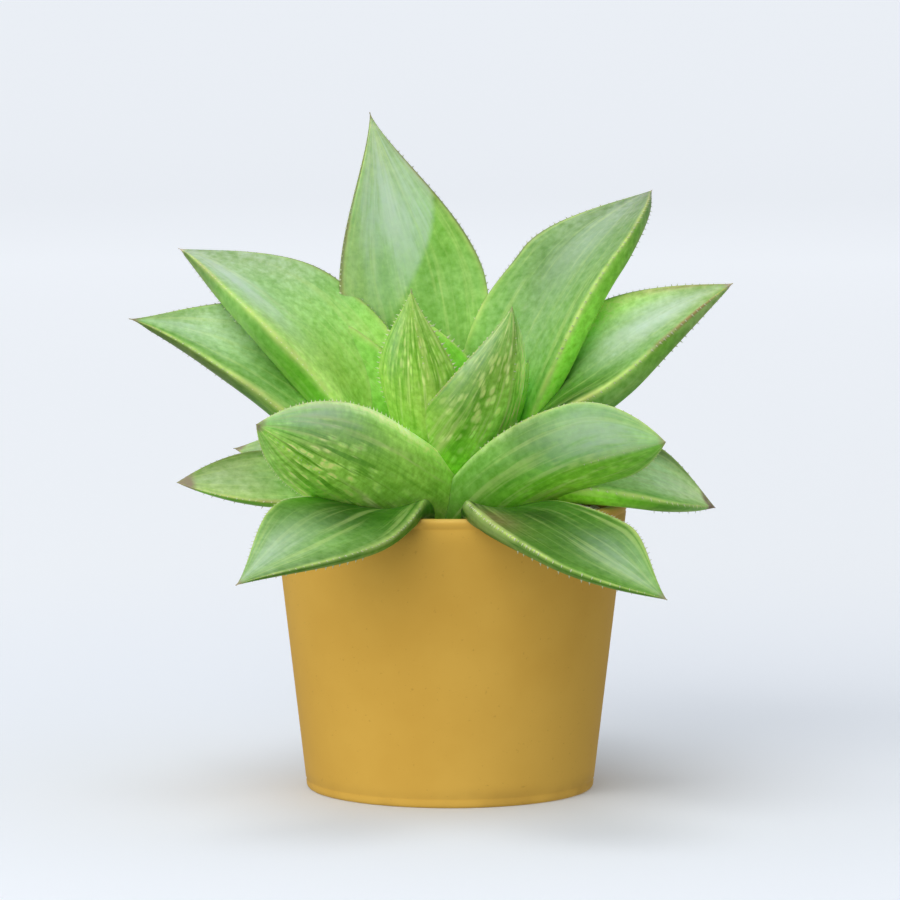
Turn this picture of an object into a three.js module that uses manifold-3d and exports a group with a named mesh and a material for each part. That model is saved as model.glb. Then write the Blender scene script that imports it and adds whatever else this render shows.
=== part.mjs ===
// Potted haworthia: a rosette of thick, boat-shaped leaves in a small tapered pot.
// Millimetres and degrees, +Z up, the front of the plant faces -Y. The origin is the
// middle of the pot's foot. Leaves are described in the rosette's own frame, whose
// axis leans to the front; azimuths run anticlockwise from +X, so 270 is the front.

import * as THREE from 'three';
import { mergeVertices } from 'three/addons/utils/BufferGeometryUtils.js';
import Module from 'manifold-3d';

const wasm = await Module();
wasm.setup();

const { degToRad, lerp, smoothstep, clamp } = THREE.MathUtils;

// ---------------------------------------------------------------- driving dimensions

const GAP = 0.3;                    // between neighbouring pieces

const POT_TOP_RADIUS = 27.5;
const POT_FOOT_RADIUS = 22.25;
const POT_HEIGHT = 44.8;
const POT_WALL = 2.0;
const POT_FLOOR = 2.6;
const POT_EDGE = 0.6;               // roundness of the rim and of the foot's edge
const POT_SIDES = 56;
const DRAIN_SIDES = 14;
const DRAIN_COUNT = 4;
const DRAIN_RADIUS = 2.0;
const DRAIN_CIRCLE = 12.5;          // radius on which the drain holes stand

const SOIL_TOP = 39.4;
const GRAVEL_SLAB = 1.9;            // bonded bed under the loose-looking stones
const GRAVEL_STONES = 68;
const STONE_RADIUS = 2.1;
const STONE_SEED = 11;

const ROSETTE_LEAN = 29;            // toward the front
const ROSETTE_CENTRE = new THREE.Vector3(0, -3, 49);

const LEAF_THICKNESS = 5;
const LEAF_FOOT = 3;                // length of the narrow foot that clasps the stem
const LEAF_POINT = 0.6;             // size of the pointed end of a leaf
const LEAF_CLEARANCE = 0.42;        // cut from a leaf around the ones inside it

// Shares of the leaf's length at which its section is drawn, and places across it.
const STATIONS = [0, 0.09, 0.18, 0.28, 0.38, 0.48, 0.58, 0.67, 0.76, 0.84, 0.91, 0.96, 1];
const ACROSS = [-1, -0.7, -0.35, 0, 0.35, 0.7, 1];
const SPINE_STEPS = 60;

// ---------------------------------------------------------------- colours and finishes

const COLOURS = {
  leafInner: { color: 0x86b94e, roughness: 0.42 },
  leafMiddle: { color: 0x8fba6c, roughness: 0.45 },
  leafOuter: { color: 0x7ea563, roughness: 0.5 },
  stem: { color: 0xa9a77a, roughness: 0.8 },
  pot: { color: 0xc99f47, roughness: 0.55 },
  soil: { color: 0x3b2c20, roughness: 0.95 },
  gravel: { color: 0xcdb6a4, roughness: 0.85 },
};

function material(finish) {
  return new THREE.MeshStandardMaterial({ ...COLOURS[finish], metalness: 0 });
}

// ---------------------------------------------------------------- the leaves

// azimuth: the way the leaf leans. seat: the way its foot stands from the stem, `out` mm
// from the axis and `up` mm along it. rise: pitch at the foot and at the tip. roll: turn
// about its own length, at the foot and past the middle. bend: how much the azimuth
// changes toward the tip. full: bluntness of the outline. wide: where it is widest.
// foot: width share at the foot. curl: how far round the section is rolled, at the foot
// and past the middle. keel: sharpness of the keel, and side: where the keel lies across.
const LEAF_DEFAULTS = {
  thickness: LEAF_THICKNESS,
  bend: 0,
  roll: [0, 0],
  full: 0.2,
  wide: 0.5,
  foot: 0.62,
  curl: [110, 45],
  keel: 0.9,
  side: 0,
  ease: 1,
  finish: 'leafMiddle',
};

// From the heart of the rosette outward: each leaf is cut clear of those before it.
const LEAVES = [
  { name: 'leaf_heart_core', azimuth: 200, seat: 20, out: 0.5, up: 4, rise: [80, 86],
    length: 20, width: 9.5, thickness: 3.6, keel: 0.5, full: 0, finish: 'leafInner' },
  { name: 'leaf_heart_left', azimuth: 200, seat: 235, out: 5, up: 2, rise: [80, 90],
    length: 36, width: 13.5, thickness: 3.5, roll: [45, 50], full: 0, side: 0.35,
    finish: 'leafInner' },
  { name: 'leaf_heart_right', azimuth: 348.5, seat: 267, out: 4.6, up: 1.5,
    rise: [61.5, 86.5], bend: 5.5, length: 35.5, width: 20, thickness: 4,
    roll: [-62, -41.5], curl: [120, 90], foot: 0.85, wide: 0.37, full: 0.45, side: 0.1,
    finish: 'leafInner' },
  { name: 'leaf_heart_side', azimuth: 352, seat: 8, out: 4.5, up: 1, rise: [64, 76],
    length: 22, width: 13, thickness: 3.6, full: 0, keel: 0.5, finish: 'leafInner' },
  { name: 'leaf_back_tall', azimuth: 107, seat: 103, out: 4, up: 3, rise: [38, 57],
    bend: 6, length: 53.5, width: 24.5, roll: [-14, 1], full: 0, wide: 0.46, foot: 0.6,
    curl: [110, 60], side: -0.3, keel: 0.5 },
  { name: 'leaf_upper_right', azimuth: 46.5, seat: 30.5, out: 9, up: 2.5, rise: [78, -9],
    bend: 14, length: 52.5, width: 25, thickness: 5.4, roll: [0, -26.5], full: 0,
    wide: 0.6, foot: 0.6, curl: [110, 60], side: -0.8 },
  { name: 'leaf_upper_left', azimuth: 153.5, seat: 171.5, out: 10, up: 1.5,
    rise: [76, -7.5], bend: -14, length: 50.5, width: 25, thickness: 6.8,
    roll: [-6.5, 12.5], full: 0, wide: 0.52, foot: 0.6, curl: [110, 60], side: 0.8 },
  { name: 'leaf_heart_back', azimuth: 120, seat: 100, out: 3.2, up: 2.6, rise: [66, 66],
    length: 22.5, width: 14, thickness: 3.2, roll: [-20, -20], keel: 0.5, full: 0,
    finish: 'leafInner' },
  { name: 'leaf_front_right', azimuth: 348, seat: 277, out: 9, up: -4.5,
    rise: [58, 13.5], bend: -14, length: 41.5, width: 17, thickness: 4,
    roll: [-76, -78], full: 0.9, wide: 0.68, curl: [110, 43], side: 0.1 },
  { name: 'leaf_front_left', azimuth: 220.5, seat: 254.5, out: 8.3, up: -2.7,
    rise: [50, 38], bend: 14, length: 52, width: 18, roll: [71.5, 78], full: 0.9,
    wide: 0.42, foot: 0.98, curl: [110, 60], side: -0.3 },
  { name: 'leaf_right', azimuth: 13.5, seat: 358, out: 9, up: 1.3, rise: [61, 16],
    bend: 4, length: 46.5, width: 25, thickness: 6.8, roll: [-25, -1], full: 0.5,
    wide: 0.3, curl: [110, 60], side: -0.7 },
  { name: 'leaf_left', azimuth: 175.5, seat: 176, out: 7.4, up: 1.5, rise: [54, 8.5],
    bend: 2, length: 50, width: 25, thickness: 7, roll: [-25, -9], full: 0,
    wide: 0.43, curl: [110, 60], side: 0.45 },
  { name: 'leaf_low_left', azimuth: 196.5, seat: 203, out: 8.3, up: 0.8,
    rise: [14.5, 4.5], bend: -8.5, length: 35.5, width: 14, thickness: 4.2,
    roll: [0, -1], full: 0.8, wide: 0.54, curl: [110, 28], keel: 0.7, side: 0.67,
    finish: 'leafOuter' },
  { name: 'leaf_low_right', azimuth: 356.5, seat: 341.5, out: 8.5, up: 0.5,
    rise: [20.5, -38.5], bend: 14, length: 35, width: 19, roll: [0, -5.5], full: 0.4,
    wide: 0.65, curl: [110, 50], keel: 0.7, side: -0.8, finish: 'leafOuter' },
  { name: 'leaf_bottom_left', azimuth: 245.5, seat: 238, out: 9.8, up: -3.5,
    rise: [41.5, -2], bend: -16.5, length: 57, width: 17.5, thickness: 4.6,
    roll: [25, -5], full: 0.2, wide: 0.59, foot: 0.42, curl: [110, 31], keel: 0.7,
    side: 0.88, ease: 1.24, finish: 'leafOuter' },
  { name: 'leaf_bottom_right', azimuth: 283, seat: 302, out: 10, up: -3.3,
    rise: [42, -25], bend: 55.5, length: 57, width: 17.5, thickness: 4.6,
    roll: [-12, -7.5], full: 0.35, wide: 0.74, foot: 0.42, curl: [110, 47], keel: 0.7,
    side: -0.88, ease: 1.7, finish: 'leafOuter' },
  { name: 'leaf_rear_centre', azimuth: 100, seat: 100, out: 7, up: 0, rise: [16, 2],
    length: 44, width: 21 },
  { name: 'leaf_rear_right', azimuth: 64, seat: 64, out: 7.5, up: -1, rise: [12, -4],
    length: 42, width: 21 },
  { name: 'leaf_rear_left', azimuth: 130, seat: 130, out: 7.5, up: -1, rise: [12, -4],
    length: 42, width: 21 },
  { name: 'leaf_old_right', azimuth: 28, seat: 28, out: 8, up: -4, rise: [4, -12],
    length: 30, width: 18, finish: 'leafOuter' },
  { name: 'leaf_old_left', azimuth: 152, seat: 152, out: 8, up: -4, rise: [0, -14],
    length: 31, width: 18, thickness: 4.4, finish: 'leafOuter' },
  { name: 'leaf_old_back_right', azimuth: 78, seat: 78, out: 8, up: -5, rise: [-15, -27],
    length: 40, width: 19, thickness: 4.4, finish: 'leafOuter' },
  { name: 'leaf_old_back_left', azimuth: 112, seat: 112, out: 8, up: -5, rise: [-15, -26],
    length: 38, width: 19, thickness: 4.4, finish: 'leafOuter' },
].map((row) => ({ ...LEAF_DEFAULTS, ...row }));

// Unit direction of an azimuth and a rise.
function heading(azimuth, rise) {
  const a = degToRad(azimuth);
  const e = degToRad(rise);
  return new THREE.Vector3(Math.cos(e) * Math.cos(a), Math.cos(e) * Math.sin(a), Math.sin(e));
}

// The leaf's pitch and azimuth at a share of its length.
function course(leaf, share) {
  return {
    rise: lerp(leaf.rise[0], leaf.rise[1], share ** leaf.ease),
    azimuth: leaf.azimuth + leaf.bend * share ** 2,
  };
}

// Place, forward, across and upper-side directions of the midrib at a share of its length.
function frameAt(leaf, share) {
  const place = heading(leaf.seat, 0).multiplyScalar(leaf.out);
  place.z += leaf.up;
  const step = leaf.length / SPINE_STEPS;
  const whole = share * SPINE_STEPS;
  for (let i = 0; i < whole; i += 1) {
    const part = Math.min(1, whole - i);
    const { rise, azimuth } = course(leaf, (i + part / 2) / SPINE_STEPS);
    place.addScaledVector(heading(azimuth, rise), step * part);
  }
  const { rise, azimuth } = course(leaf, share);
  const along = heading(azimuth, rise);
  const roll = degToRad(lerp(leaf.roll[0], leaf.roll[1], smoothstep(share, 0, 0.6)));
  const across = heading(azimuth + 90, 0).applyAxisAngle(along, roll);
  const upper = along.clone().cross(across);
  return { place, along, across, upper };
}

function widthShare(leaf, share) {
  if (share < leaf.wide) {
    return lerp(leaf.foot, 1, Math.sin((share / leaf.wide) * Math.PI / 2));
  }
  const outer = (share - leaf.wide) / (1 - leaf.wide);
  return Math.max(0, 1 - outer ** (1.7 + 0.5 * leaf.full)) ** (1.4 - 0.45 * leaf.full);
}

function thicknessShare(share) {
  return Math.max(0, 1 - share ** 2.2) ** 0.8 * (0.8 + 0.2 * clamp(share / 0.3, 0, 1));
}

// One section as [across, upper] pairs: the upper face first, then the keeled lower face.
function section(leaf, share, grow) {
  const width = Math.max(leaf.width * widthShare(leaf, share), LEAF_POINT) + 2 * grow;
  const thick = Math.min(
    Math.max(leaf.thickness * thicknessShare(share), LEAF_POINT), 0.6 * width) + 2 * grow;
  const curl = degToRad(lerp(leaf.curl[0], leaf.curl[1], smoothstep(share, 0, 0.55)));
  const radius = width / curl;
  const keel = leaf.keel * smoothstep(share, 0, 0.5);
  const point = (q, height) => {
    const turn = q * curl / 2;
    return [
      radius * Math.sin(turn) - height * Math.sin(turn),
      radius * (1 - Math.cos(turn)) + height * Math.cos(turn),
    ];
  };
  const upperFace = ACROSS.map((q) => point(q, 0.3 * thick * Math.sqrt(1 - q * q)));
  const lowerFace = ACROSS.slice(1, -1).reverse().map((q) => {
    const round = Math.sqrt(1 - q * q);
    const ridge = Math.min((1 + q) / (1 + leaf.side), (1 - q) / (1 - leaf.side));
    return point(q, -0.7 * thick * lerp(round, 0.35 * round + 0.75 * ridge, keel));
  });
  return [...upperFace, ...lowerFace];
}

// Rings of points from the clasping foot to the tip, in the rosette's frame.
function leafRings(leaf, grow) {
  const rings = STATIONS.map((share) => {
    const { place, across, upper } = frameAt(leaf, share);
    return section(leaf, share, grow).map(([u, v]) => (
      place.clone().addScaledVector(across, u).addScaledVector(upper, v)));
  });
  const back = frameAt(leaf, 0).along.multiplyScalar(-(LEAF_FOOT + grow));
  const footCentre = frameAt(leaf, 0).place.add(back);
  const footRing = rings[0].map((p) => p.clone().add(back).lerp(footCentre, 0.15));
  const forward = frameAt(leaf, 1).along.multiplyScalar(grow);
  rings.at(-1).forEach((p) => p.add(forward));
  return [footRing, ...rings];
}

// Closed skin over a run of rings that all have the same number of points.
function loft(rings) {
  const sides = rings[0].length;
  const centreOf = (ring) => ring.reduce(
    (sum, p) => sum.add(p), new THREE.Vector3()).divideScalar(sides);
  const points = [...rings.flat(), centreOf(rings[0]), centreOf(rings.at(-1))];
  const first = points.length - 2;
  const last = points.length - 1;
  const index = [];
  for (let j = 0; j < sides; j += 1) {
    const k = (j + 1) % sides;
    for (let i = 0; i < rings.length - 1; i += 1) {
      const a = i * sides;
      const b = a + sides;
      index.push(a + j, b + k, a + k, a + j, b + j, b + k);
    }
    const end = (rings.length - 1) * sides;
    index.push(first, j, k, last, end + k, end + j);
  }
  const geometry = new THREE.BufferGeometry().setFromPoints(points);
  geometry.setIndex(index);
  return geometry;
}

const rosetteToPot = new THREE.Matrix4()
  .makeRotationX(degToRad(ROSETTE_LEAN))
  .setPosition(ROSETTE_CENTRE);

function leafGeometry(leaf, grow = 0) {
  return loft(leafRings(leaf, grow)).applyMatrix4(rosetteToPot);
}

// ---------------------------------------------------------------- joining and cutting

// Closed solid of a geometry, with seams welded and collapsed triangles dropped.
function solidOf(geometry) {
  const bare = geometry.clone();
  bare.deleteAttribute('normal');
  bare.deleteAttribute('uv');
  const welded = mergeVertices(bare, 1e-4);
  const index = welded.index.array;
  const triangles = [];
  for (let i = 0; i < index.length; i += 3) {
    const [a, b, c] = index.slice(i, i + 3);
    if (a !== b && b !== c && c !== a) triangles.push(a, b, c);
  }
  return new wasm.Manifold(new wasm.Mesh({
    numProp: 3,
    vertProperties: welded.attributes.position.array,
    triVerts: new Uint32Array(triangles),
  }));
}

function geometryOf(solid) {
  const mesh = solid.getMesh();
  const geometry = new THREE.BufferGeometry();
  geometry.setAttribute('position', new THREE.BufferAttribute(mesh.vertProperties, 3));
  geometry.setIndex(new THREE.BufferAttribute(mesh.triVerts, 1));
  geometry.computeVertexNormals();
  return geometry;
}

// The biggest of the bodies that a cut leaves.
function mainBody(solid) {
  return solid.decompose().reduce((best, body) => (
    body.volume() > best.volume() ? body : best));
}

// ---------------------------------------------------------------- the stem

// Places up the stem as [height along the rosette axis, radius]; the root end stands
// upright in the mix and the top ends among the smallest leaves.
const STEM_TOP = [[-4, 6.2], [-1, 6.3], [1, 5], [2.6, 3], [3.6, 1.4]];
const STEM_ROOT = [[25, 0.9], [31, 2.2], [37, 3.6], [41.5, 5]];   // [height, radius]
const STEM_ROOT_Y = 1.2;
const STEM_SIDES = 16;

function stemGeometry(grow = 0) {
  const root = STEM_ROOT.map(([z, radius]) => ({
    centre: new THREE.Vector3(0, STEM_ROOT_Y, z), radius, lean: 0,
  }));
  const top = STEM_TOP.map(([up, radius]) => ({
    centre: new THREE.Vector3(0, 0, up).applyMatrix4(rosetteToPot), radius,
    lean: degToRad(ROSETTE_LEAN),
  }));
  const rings = [...root, ...top].map(({ centre, radius, lean }) => (
    Array.from({ length: STEM_SIDES }, (_, i) => {
      const turn = -2 * Math.PI * i / STEM_SIDES;
      const reach = radius + grow;
      return new THREE.Vector3(reach * Math.cos(turn), reach * Math.sin(turn), 0)
        .applyAxisAngle(new THREE.Vector3(1, 0, 0), lean)
        .add(centre);
    })));
  rings[0].forEach((p) => { p.z -= grow; });
  const crown = new THREE.Vector3(0, -Math.sin(degToRad(ROSETTE_LEAN)),
    Math.cos(degToRad(ROSETTE_LEAN))).multiplyScalar(grow);
  rings.at(-1).forEach((p) => p.add(crown));
  return loft(rings);
}

// ---------------------------------------------------------------- the pot

function potRadius(z) {
  return lerp(POT_FOOT_RADIUS, POT_TOP_RADIUS, z / POT_HEIGHT);
}

// A profile of [radius, height] pairs turned about the pot's axis.
function turned(profile, sides) {
  const points = profile.map(([r, z]) => new THREE.Vector2(r, z));
  return new THREE.LatheGeometry(points, sides).rotateX(Math.PI / 2);
}

function potSolid() {
  const inside = (z) => potRadius(z) - POT_WALL;
  const rim = POT_HEIGHT - POT_EDGE;
  const shell = solidOf(turned([
    [0, 0],
    [POT_FOOT_RADIUS - POT_EDGE, 0],
    [potRadius(0.2 * POT_EDGE) - 0.25 * POT_EDGE, 0.25 * POT_EDGE],
    [potRadius(POT_EDGE), POT_EDGE],
    [potRadius(rim), rim],
    [potRadius(rim) - 0.2 * POT_EDGE, POT_HEIGHT - 0.2 * POT_EDGE],
    [potRadius(rim) - POT_EDGE, POT_HEIGHT],
    [inside(rim) + 0.5 * POT_EDGE, POT_HEIGHT],
    [inside(rim), rim],
    [inside(POT_FLOOR + 2 * POT_EDGE), POT_FLOOR + 2 * POT_EDGE],
    [inside(POT_FLOOR) - 2 * POT_EDGE, POT_FLOOR],
    [0, POT_FLOOR],
  ], POT_SIDES));
  const drains = Array.from({ length: DRAIN_COUNT }, (_, i) => {
    const turn = 2 * Math.PI * (i + 0.5) / DRAIN_COUNT;
    const drill = new THREE.CylinderGeometry(DRAIN_RADIUS, DRAIN_RADIUS, 4 * POT_FLOOR,
      DRAIN_SIDES);
    drill.rotateX(Math.PI / 2);
    drill.translate(DRAIN_CIRCLE * Math.cos(turn), DRAIN_CIRCLE * Math.sin(turn), 0);
    return solidOf(drill);
  });
  return drains.reduce((pot, drain) => pot.subtract(drain), shell);
}

// ---------------------------------------------------------------- soil and gravel

function soilSolid() {
  const fill = (z) => potRadius(z) - POT_WALL - GAP;
  const low = POT_FLOOR + GAP;
  return solidOf(turned([
    [0, low],
    [fill(low) - 2 * POT_EDGE - GAP, low],
    [fill(low + 2 * POT_EDGE) - GAP / 2, low + 2 * POT_EDGE + GAP],
    [fill(SOIL_TOP), SOIL_TOP],
    [0, SOIL_TOP],
  ], POT_SIDES));
}

// Small repeatable random numbers, 0 to 1.
function randomFrom(seed) {
  let state = seed;
  return () => {
    state = (state * 1664525 + 1013904223) % 4294967296;
    return state / 4294967296;
  };
}

// One stone: a faceted pebble, flattened and turned.
function stoneGeometry(radius, random) {
  const stone = new THREE.IcosahedronGeometry(1, 0);
  stone.deleteAttribute('normal');
  stone.deleteAttribute('uv');
  const pebble = mergeVertices(stone, 1e-4);
  const place = pebble.attributes.position;
  for (let i = 0; i < place.count; i += 1) {
    const swell = 0.85 + 0.3 * random();
    place.setXYZ(i, place.getX(i) * swell, place.getY(i) * swell, place.getZ(i) * swell);
  }
  pebble.scale(radius * (1 + 0.3 * random()), radius, radius * (0.65 + 0.2 * random()));
  pebble.rotateZ(2 * Math.PI * random());
  return pebble;
}

// Bed of stones over the mix, spread on a sunflower spiral from the stem to the wall.
function gravelSolid() {
  const random = randomFrom(STONE_SEED);
  const low = SOIL_TOP + GAP;
  const high = low + GRAVEL_SLAB;
  const fill = (z) => potRadius(z) - POT_WALL - GAP;
  const slab = solidOf(turned([
    [0, low], [fill(low), low], [fill(high), high], [0, high],
  ], POT_SIDES));
  const inner = STEM_TOP[0][1];
  const outer = fill(high) - 1.3 * STONE_RADIUS;
  const stones = Array.from({ length: GRAVEL_STONES }, (_, i) => {
    const reach = Math.sqrt(lerp(inner ** 2, outer ** 2, (i + 0.5) / GRAVEL_STONES));
    const turn = i * Math.PI * (3 - Math.sqrt(5)) + 0.2 * random();
    const stone = stoneGeometry(STONE_RADIUS * (0.75 + 0.4 * random()), random);
    stone.translate(reach * Math.cos(turn), reach * Math.sin(turn), high + 0.4 * random());
    return solidOf(stone);
  });
  return stones.reduce((bed, stone) => bed.add(stone), slab);
}

// ---------------------------------------------------------------- the plant in its pot

const plant = new THREE.Group();

function addPiece(name, solid, finish) {
  const mesh = new THREE.Mesh(geometryOf(solid), material(finish));
  mesh.name = name;
  plant.add(mesh);
}

const stem = solidOf(stemGeometry());
const stemRoom = solidOf(stemGeometry(GAP));
const soilRoom = solidOf(turned([
  [0, POT_FLOOR], [POT_FOOT_RADIUS - POT_WALL, POT_FLOOR],
  [POT_FOOT_RADIUS - POT_WALL, SOIL_TOP + GAP], [0, SOIL_TOP + GAP],
], STEM_SIDES));
const rimRoom = solidOf(turned([
  [potRadius(SOIL_TOP) - POT_WALL - GAP, SOIL_TOP],
  [potRadius(SOIL_TOP) + GAP, SOIL_TOP],
  [POT_TOP_RADIUS + GAP, POT_HEIGHT + GAP],
  [POT_TOP_RADIUS - POT_WALL - GAP, POT_HEIGHT + GAP],
  [potRadius(SOIL_TOP) - POT_WALL - GAP, SOIL_TOP],
], POT_SIDES));
const leafRooms = LEAVES.map((leaf) => solidOf(leafGeometry(leaf, LEAF_CLEARANCE)));

addPiece('pot', potSolid(), 'pot');
addPiece('soil', mainBody(soilSolid().subtract(stemRoom)), 'soil');
const bed = leafRooms.reduce((rest, room) => rest.subtract(room),
  gravelSolid().subtract(stemRoom));
addPiece('gravel', mainBody(bed), 'gravel');
addPiece('stem', stem, 'stem');
LEAVES.forEach((leaf, i) => {
  const whole = [stemRoom, soilRoom, rimRoom].reduce(
    (rest, room) => rest.subtract(room), solidOf(leafGeometry(leaf)));
  const blade = leafRooms.slice(0, i).reduce((rest, room) => rest.subtract(room), whole);
  addPiece(leaf.name, mainBody(blade), leaf.finish);
});

export default plant;
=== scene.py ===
"""Looks of the potted haworthia: finely drawn leaves, pebbles, stem and pot over the CAD frame."""
import bmesh
import bpy
import numpy as np
from math import ceil, cos, pi, radians, sin, sqrt
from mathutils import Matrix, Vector


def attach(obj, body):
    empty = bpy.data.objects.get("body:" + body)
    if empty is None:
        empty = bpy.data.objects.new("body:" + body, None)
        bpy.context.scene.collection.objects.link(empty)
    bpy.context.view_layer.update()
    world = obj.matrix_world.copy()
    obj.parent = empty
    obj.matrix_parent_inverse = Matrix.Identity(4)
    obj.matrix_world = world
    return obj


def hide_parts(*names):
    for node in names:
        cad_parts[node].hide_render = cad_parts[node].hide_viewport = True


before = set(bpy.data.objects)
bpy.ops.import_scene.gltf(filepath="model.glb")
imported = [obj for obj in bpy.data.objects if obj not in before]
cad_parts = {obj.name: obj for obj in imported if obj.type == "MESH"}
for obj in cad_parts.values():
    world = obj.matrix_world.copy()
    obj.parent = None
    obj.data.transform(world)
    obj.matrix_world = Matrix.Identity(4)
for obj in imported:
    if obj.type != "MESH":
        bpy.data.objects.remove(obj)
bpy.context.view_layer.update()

# ---- sizes in mm, as in the CAD model

MM = 0.001                # metres
GAP = 0.3                 # between neighbours that touch
POT_TOP_RADIUS = 27.5
POT_FOOT_RADIUS = 22.25
POT_HEIGHT = 44.8
POT_WALL = 2.0
POT_FLOOR = 2.6
POT_EDGE = 0.6            # radius of its rounded edges
DRAINS = 4
DRAIN_RADIUS = 2.0
DRAIN_CIRCLE = 12.5
SOIL_TOP = 39.4
BED_TOP = 41.3

# ---- camera and light, in metres

ELEVATION = 6.0           # degrees, as the photograph looks slightly down
DISTANCE = 0.9
AIM = Vector((0.0, 0.0, 0.0525))
SEEN_WIDTH = 0.1394       # width of the picture at the aim point
SENSOR = 36.0
NEAREST, FARTHEST = 0.05, 20

LIT_POINT = (0, 0, 0.05)  # both lamps face it
KEY_LAMP = dict(place=(-0.61, -1.09, 0.56), size=1.5, power=15.2, colour=(1.0, 0.985, 0.95))
TOP_LAMP = dict(place=(-0.1, -0.1, 1.3), size=0.8, power=5, colour=(0.97, 0.985, 1.0))
WORLD_COLOUR = (0.95, 0.975, 1.0, 1)
WORLD_STRENGTH = 0.5


def add_camera():
    data = bpy.data.cameras.new("camera")
    data.sensor_width = SENSOR
    data.lens = SENSOR * DISTANCE / SEEN_WIDTH
    data.clip_start = NEAREST
    data.clip_end = FARTHEST
    cam = bpy.data.objects.new("camera", data)
    bpy.context.collection.objects.link(cam)
    tilt = radians(ELEVATION)
    back = Vector((0, -cos(tilt), sin(tilt)))
    cam.location = AIM + back * DISTANCE
    cam.rotation_mode = "QUATERNION"
    cam.rotation_quaternion = (-back).to_track_quat("-Z", "Y")
    bpy.context.scene.camera = cam


def add_lamp(name, place, size, power, colour):
    data = bpy.data.lights.new(name, "AREA")
    data.shape = "DISK"
    data.size = size
    data.energy = power
    data.color = colour
    lamp = bpy.data.objects.new(name, data)
    bpy.context.collection.objects.link(lamp)
    lamp.location = place
    lamp.rotation_mode = "QUATERNION"
    lamp.rotation_quaternion = (Vector(LIT_POINT) - Vector(place)).to_track_quat("-Z", "Y")


def add_light():
    world = bpy.data.worlds.new("studio")
    world.use_nodes = True
    back = world.node_tree.nodes["Background"]
    back.inputs["Color"].default_value = WORLD_COLOUR
    back.inputs["Strength"].default_value = WORLD_STRENGTH
    bpy.context.scene.world = world
    add_lamp("key", **KEY_LAMP)
    add_lamp("top", **TOP_LAMP)


def linear(red, green, blue):
    """Linear colour of a screen colour given as 0 to 255."""
    def one(v):
        v /= 255
        return v / 12.92 if v <= 0.04045 else ((v + 0.055) / 1.055) ** 2.4
    return (one(red), one(green), one(blue), 1.0)


# ---- node helpers

class Shader:
    """A material's node tree, built with short calls. Values are sockets, numbers or colours."""

    def __init__(self, name):
        self.material = bpy.data.materials.new(name)
        self.material.use_nodes = True
        self.tree = self.material.node_tree
        self.tree.nodes.clear()
        self.output = self.tree.nodes.new("ShaderNodeOutputMaterial")
        self.surface = self.tree.nodes.new("ShaderNodeBsdfPrincipled")
        self.tree.links.new(self.surface.outputs[0], self.output.inputs["Surface"])

    def put(self, socket, value):
        if isinstance(value, bpy.types.NodeSocket):
            self.tree.links.new(value, socket)
        else:
            socket.default_value = value

    def fill(self, node, inputs):
        for name, value in inputs.items():
            self.put(node.inputs[name.replace("_", " ")], value)

    def set(self, **inputs):
        self.fill(self.surface, inputs)

    def add(self, kind, **inputs):
        node = self.tree.nodes.new("ShaderNode" + kind)
        self.fill(node, inputs)
        return node

    def attribute(self, name, output="Fac"):
        node = self.add("Attribute")
        node.attribute_name = name
        return node.outputs[output]

    def place(self):
        return self.add("TexCoord").outputs["Object"]

    def math(self, operation, a, b=0.0):
        node = self.add("Math")
        node.operation = operation
        self.put(node.inputs[0], a)
        self.put(node.inputs[1], b)
        return node.outputs[0]

    def times(self, a, b):
        return self.math("MULTIPLY", a, b)

    def vector(self, x, y, z):
        return self.add("CombineXYZ", X=x, Y=y, Z=z).outputs[0]

    def split(self, vector):
        return self.add("SeparateXYZ", Vector=vector).outputs

    def noise(self, vector, scale, detail=2.0, rough=0.5, warp=0.0):
        return self.add("TexNoise", Vector=vector, Scale=scale, Detail=detail, Roughness=rough,
                        Distortion=warp).outputs["Fac"]

    def cells(self, vector):
        return self.add("TexVoronoi", Vector=vector, Scale=1.0).outputs["Distance"]

    def span(self, value, low, high, out_low=0.0, out_high=1.0):
        """Maps low..high smoothly to out_low..out_high."""
        node = self.add("MapRange", Value=value, From_Min=low, From_Max=high, To_Min=out_low,
                        To_Max=out_high)
        node.interpolation_type = "SMOOTHSTEP"
        return node.outputs["Result"]

    def mix(self, share, a, b, blend="MIX"):
        """Mixed colour. A Mix node has its colours at inputs 6 and 7 and at output 2."""
        node = self.add("Mix")
        node.data_type = "RGBA"
        node.blend_type = blend
        self.put(node.inputs[0], share)
        self.put(node.inputs[6], a)
        self.put(node.inputs[7], b)
        return node.outputs[2]

    def tint(self, colour, by):
        return self.mix(1.0, colour, by, "MULTIPLY")

    def ramp(self, value, stops):
        node = self.add("ValToRGB", Fac=value)
        points = node.color_ramp.elements
        while len(points) < len(stops):
            points.new(0.5)
        for point, (where, colour) in zip(points, stops):
            point.position = where
            point.color = colour
        return node.outputs[0]

    def bump(self, height, depth, strength=1.0, under=None):
        """Normal of a relief, its depth in metres, laid over the relief under it."""
        node = self.add("Bump", Strength=strength, Distance=depth, Height=height)
        if under is not None:
            self.put(node.inputs["Normal"], under)
        return node.outputs[0]


# ---- mesh helpers

def add_mesh(name, points, faces, material, attributes=None):
    """A smooth mesh object; an attribute is a number or a colour at each point."""
    mesh = bpy.data.meshes.new(name)
    mesh.from_pydata([tuple(p) for p in points], [], [tuple(int(i) for i in f) for f in faces])
    mesh.polygons.foreach_set("use_smooth", [True] * len(mesh.polygons))
    for key, values in (attributes or {}).items():
        values = np.asarray(values, dtype=np.float32)
        if values.ndim == 2:
            layer = mesh.attributes.new(key, "FLOAT_COLOR", "POINT")
            layer.data.foreach_set("color", values.ravel())
        else:
            layer = mesh.attributes.new(key, "FLOAT", "POINT")
            layer.data.foreach_set("value", values)
    mesh.materials.append(material)
    mesh.validate()
    obj = bpy.data.objects.new(name, mesh)
    bpy.context.collection.objects.link(obj)
    return obj


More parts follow.
